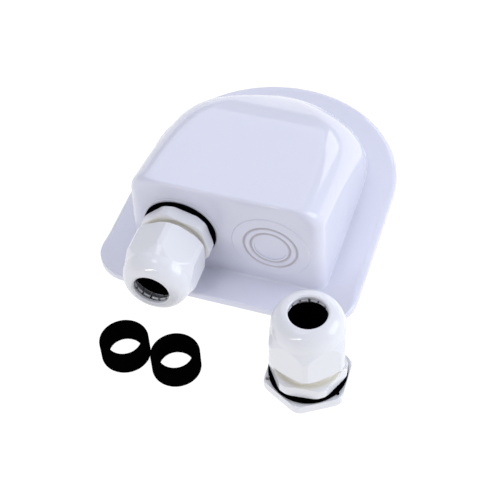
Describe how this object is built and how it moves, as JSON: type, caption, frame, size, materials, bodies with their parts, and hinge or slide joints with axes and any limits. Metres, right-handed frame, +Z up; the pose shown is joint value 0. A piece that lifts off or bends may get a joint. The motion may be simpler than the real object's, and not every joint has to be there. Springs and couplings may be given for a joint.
{
  "type": "roof cable entry housing with cable glands",
  "caption": "Hollow domed roof housing for cables, with a dome-capped cable gland fitted in its front wall, a loose gland standing in front and spare rubber seal sleeves.",
  "frame": {"origin": "middle of the kit's footprint, on the surface that the housing's flange and the loose pieces stand on", "axes": "+Z up from that surface, +Y from the glands towards the round back of the housing, +X to the right as the front wall is faced"},
  "size_m": [0.1062, 0.1574, 0.0433],
  "materials": {
    "housing_white": "glossy white weatherproof plastic with a cool tint, moulded",
    "nylon_white": "satin white nylon, moulded",
    "black_rubber": "soft black rubber, dull"
  },
  "bodies": {
    "housing": {"entry_housing": "housing_white", "fitted_gland_body": "nylon_white", "fitted_gasket": "black_rubber"},
    "fitted_insert": {"fitted_claw_cage": "nylon_white", "fitted_seal_insert": "black_rubber"},
    "fitted_cap": {"fitted_cap_nut": "nylon_white"},
    "fitted_nut": {"fitted_locknut": "nylon_white"},
    "loose_body": {"loose_gland_body": "nylon_white"},
    "loose_insert": {"loose_claw_cage": "nylon_white", "loose_seal_insert": "black_rubber"},
    "loose_cap": {"loose_cap_nut": "nylon_white"},
    "loose_washer": {"loose_gasket": "black_rubber"},
    "loose_nut": {"loose_locknut": "nylon_white"},
    "spare_left": {"spare_seal_left": "black_rubber"},
    "spare_right": {"spare_seal_right": "black_rubber"}
  },
  "joints": [
    {"name": "fitted_insert_travel", "type": "slide", "parent": "housing", "child": "fitted_insert", "axis": [0, -1, 0], "range_m": [0, 0.006]},
    {"name": "fitted_cap_turn", "type": "hinge", "parent": "fitted_insert", "child": "fitted_cap", "pos_m": [-0.0197, -0.045, 0.0215], "axis": [0, -1, 0], "range_deg": [0, 1530]},
    {"name": "fitted_locknut_turn", "type": "hinge", "parent": "housing", "child": "fitted_nut", "pos_m": [-0.0197, -0.0212, 0.0215], "axis": [0, 1, 0], "range_deg": [0, 360]},
    {"name": "loose_gland_lift", "type": "slide", "parent": "housing", "child": "loose_body", "axis": [0, 0, 1], "range_m": [0, 0.06]},
    {"name": "loose_insert_travel", "type": "slide", "parent": "loose_body", "child": "loose_insert", "axis": [0, 0, 1], "range_m": [-0.00236, 0.00365]},
    {"name": "loose_cap_turn", "type": "hinge", "parent": "loose_insert", "child": "loose_cap", "pos_m": [0.0391, -0.0629, 0.0285], "axis": [0, 0, 1], "range_deg": [-600, 930]},
    {"name": "loose_gasket_travel", "type": "slide", "parent": "loose_body", "child": "loose_washer", "axis": [0, 0, -1], "range_m": [0, 0.00282]},
    {"name": "loose_locknut_turn", "type": "hinge", "parent": "loose_washer", "child": "loose_nut", "pos_m": [0.0391, -0.0629, 0.0047], "axis": [0, 0, -1], "range_deg": [0, 710]},
    {"name": "spare_seal_left_lift", "type": "slide", "parent": "housing", "child": "spare_left", "axis": [0, 0, 1], "range_m": [0, 0.06]},
    {"name": "spare_seal_right_lift", "type": "slide", "parent": "housing", "child": "spare_right", "axis": [0, 0, 1], "range_m": [0, 0.06]}
  ],
  "couplings": [
    {"joint": "fitted_insert_travel", "follows": "fitted_cap_turn", "m_per_rad": 0.00022441},
    {"joint": "loose_insert_travel", "follows": "loose_cap_turn", "m_per_rad": 0.00022441},
    {"joint": "loose_gasket_travel", "follows": "loose_locknut_turn", "m_per_rad": 0.00022441}
  ]
}
